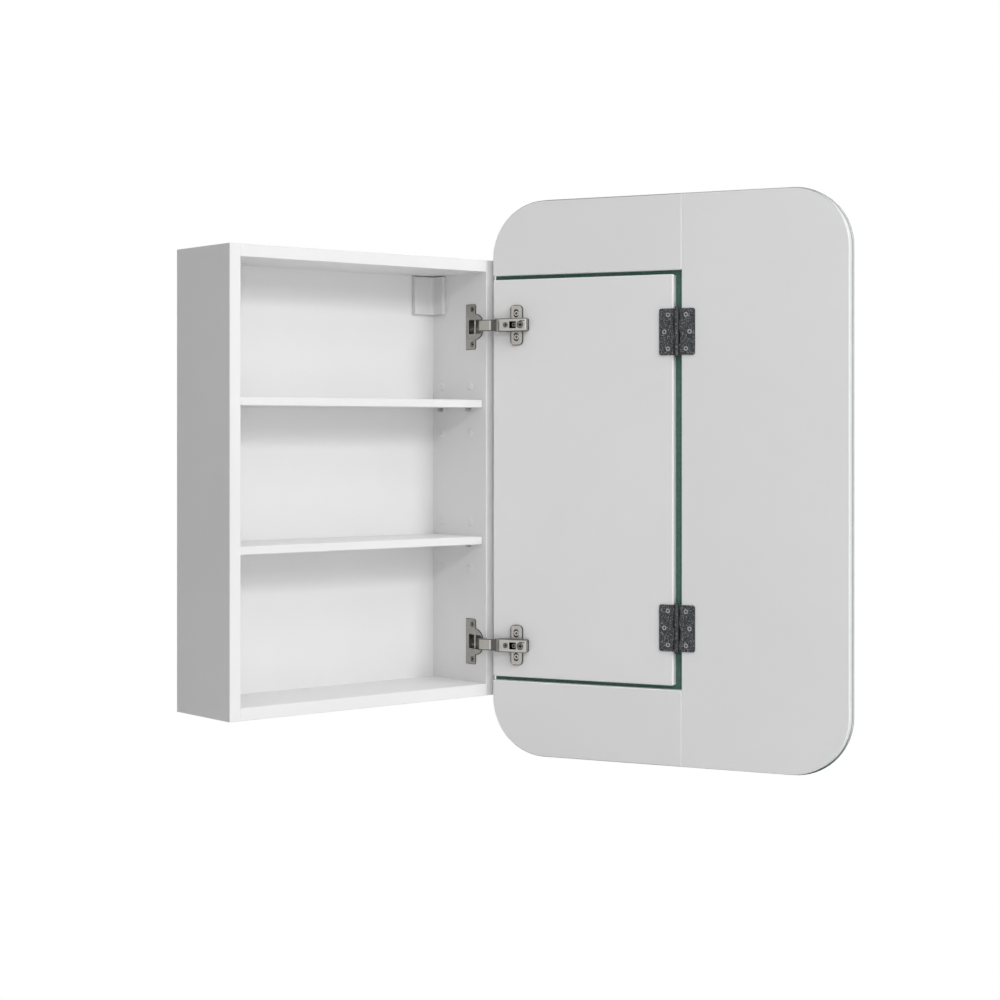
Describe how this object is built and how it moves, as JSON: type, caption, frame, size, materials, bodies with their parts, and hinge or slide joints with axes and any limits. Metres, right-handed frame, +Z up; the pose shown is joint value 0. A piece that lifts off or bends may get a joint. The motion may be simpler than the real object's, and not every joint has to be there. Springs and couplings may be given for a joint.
{
  "type": "mirrored medicine cabinet",
  "caption": "Wall-hung white bathroom cabinet with shelves and a rounded mirror; the mirror turns on a door panel that swings on concealed hinges.",
  "frame": {"origin": "on the wall plane, middle of the top board's rear edge", "axes": "+Z up, +Y into the wall, the cabinet opens towards -Y with its door hinged on the +X side"},
  "size_m": [0.6377, 0.5883, 0.752],
  "materials": {
    "carcass_white": "white melamine on particleboard, satin",
    "back_white": "white faced hardboard, satin",
    "shelf_white": "white melamine on particleboard, satin",
    "door_white": "white melamine on fibreboard, satin",
    "backing_white": "white melamine on fibreboard, satin",
    "dowel_beech": "plain beech",
    "cap_white": "white moulded, satin",
    "cover_white": "white moulded, matte",
    "pin_steel": "zinc plated",
    "hanger_zinc": "zinc plated",
    "hinge_nickel": "nickel plated, satin",
    "link_steel": "nickel plated, satin",
    "pivot_steel": "plain ground steel",
    "screw_nickel": "nickel plated",
    "spring_steel": "dark spring steel",
    "butt_gunmetal": "dark speckled gunmetal",
    "butt_screw": "bright rimmed, dark recess",
    "mirror": "silvered float glass, green edge, dark green painted back"
  },
  "bodies": {
    "cabinet": {"left_side": "carcass_white", "right_side": "carcass_white", "top_panel": "carcass_white", "bottom_panel": "carcass_white", "back_panel": "back_white", "carcass_dowels": "dowel_beech", "upper_shelf": "shelf_white", "lower_shelf": "shelf_white", "upper_shelf_pins": "pin_steel", "lower_shelf_pins": "pin_steel", "hole_caps": "cap_white", "left_hanger_bracket": "hanger_zinc", "right_hanger_bracket": "hanger_zinc", "hanger_screws": "hanger_zinc", "upper_hinge_cup": "hinge_nickel", "lower_hinge_cup": "hinge_nickel", "cup_pivot_pins": "pivot_steel", "cup_screws": "screw_nickel"},
    "door": {"door_panel": "door_white", "upper_hinge_plate": "hinge_nickel", "lower_hinge_plate": "hinge_nickel", "upper_hinge_arm": "hinge_nickel", "lower_hinge_arm": "hinge_nickel", "arm_pivot_pins": "pivot_steel", "plate_screws": "screw_nickel", "side_adjust_screws": "screw_nickel", "depth_adjust_screws": "screw_nickel", "clip_cam_screws": "screw_nickel", "upper_butt_door_leaf": "butt_gunmetal", "lower_butt_door_leaf": "butt_gunmetal", "butt_hinge_pins": "butt_gunmetal", "butt_door_screws": "butt_screw"},
    "mirror": {"mirror_glass": "mirror", "wing_board": "backing_white", "top_infill": "backing_white", "bottom_infill": "backing_white", "upper_butt_mirror_leaf": "butt_gunmetal", "lower_butt_mirror_leaf": "butt_gunmetal", "butt_mirror_screws": "butt_screw"},
    "upper_inner": {"upper_inner_link": "link_steel"},
    "lower_inner": {"lower_inner_link": "link_steel"},
    "upper_outer": {"upper_outer_link": "link_steel", "upper_hinge_spring": "spring_steel", "upper_knee_pin": "pivot_steel"},
    "lower_outer": {"lower_outer_link": "link_steel", "lower_hinge_spring": "spring_steel", "lower_knee_pin": "pivot_steel"},
    "left_hook": {"left_hanger_hook": "hanger_zinc"},
    "right_hook": {"right_hanger_hook": "hanger_zinc"},
    "left_cover": {"left_hanger_cover": "cover_white"},
    "right_cover": {"right_hanger_cover": "cover_white"}
  },
  "joints": [
    {"name": "door_swing", "type": "hinge", "parent": "cabinet", "child": "door", "pos_m": [0.2072, -0.138, -0.289], "axis": [0, 0, 1], "range_deg": [-115.2, 0]},
    {"name": "mirror_turn", "type": "hinge", "parent": "door", "child": "mirror", "pos_m": [0.30951, -0.38173, -0.289], "axis": [0, 0, -1], "range_deg": [0, 160]},
    {"name": "upper_inner_pivot", "type": "hinge", "parent": "cabinet", "child": "upper_inner", "pos_m": [0.20081, -0.11165, -0.082], "axis": [0, 0, 1], "range_deg": [-112.7, 0]},
    {"name": "lower_inner_pivot", "type": "hinge", "parent": "cabinet", "child": "lower_inner", "pos_m": [0.20081, -0.11165, -0.5145], "axis": [0, 0, 1], "range_deg": [-112.7, 0]},
    {"name": "upper_outer_pivot", "type": "hinge", "parent": "door", "child": "upper_outer", "pos_m": [0.19119, -0.15647, -0.082], "axis": [0, 0, 1], "range_deg": [0, 114.3]},
    {"name": "lower_outer_pivot", "type": "hinge", "parent": "door", "child": "lower_outer", "pos_m": [0.19119, -0.15647, -0.5145], "axis": [0, 0, 1], "range_deg": [0, 114.3]},
    {"name": "left_hook_height", "type": "slide", "parent": "cabinet", "child": "left_hook", "axis": [0, 0, 1], "range_m": [-0.005, 0.005]},
    {"name": "right_hook_height", "type": "slide", "parent": "cabinet", "child": "right_hook", "axis": [0, 0, 1], "range_m": [-0.005, 0.005]},
    {"name": "left_cover_pull", "type": "slide", "parent": "cabinet", "child": "left_cover", "axis": [0.7071, -0.7071, 0], "range_m": [0, 0.025]},
    {"name": "right_cover_pull", "type": "slide", "parent": "cabinet", "child": "right_cover", "axis": [-0.7071, -0.7071, 0], "range_m": [0, 0.025]}
  ],
  "couplings": [
    {"joint": "upper_inner_pivot", "follows": "door_swing", "ratio": 0.97802},
    {"joint": "lower_inner_pivot", "follows": "door_swing", "ratio": 0.97802},
    {"joint": "upper_outer_pivot", "follows": "door_swing", "ratio": -0.99164},
    {"joint": "lower_outer_pivot", "follows": "door_swing", "ratio": -0.99164}
  ]
}
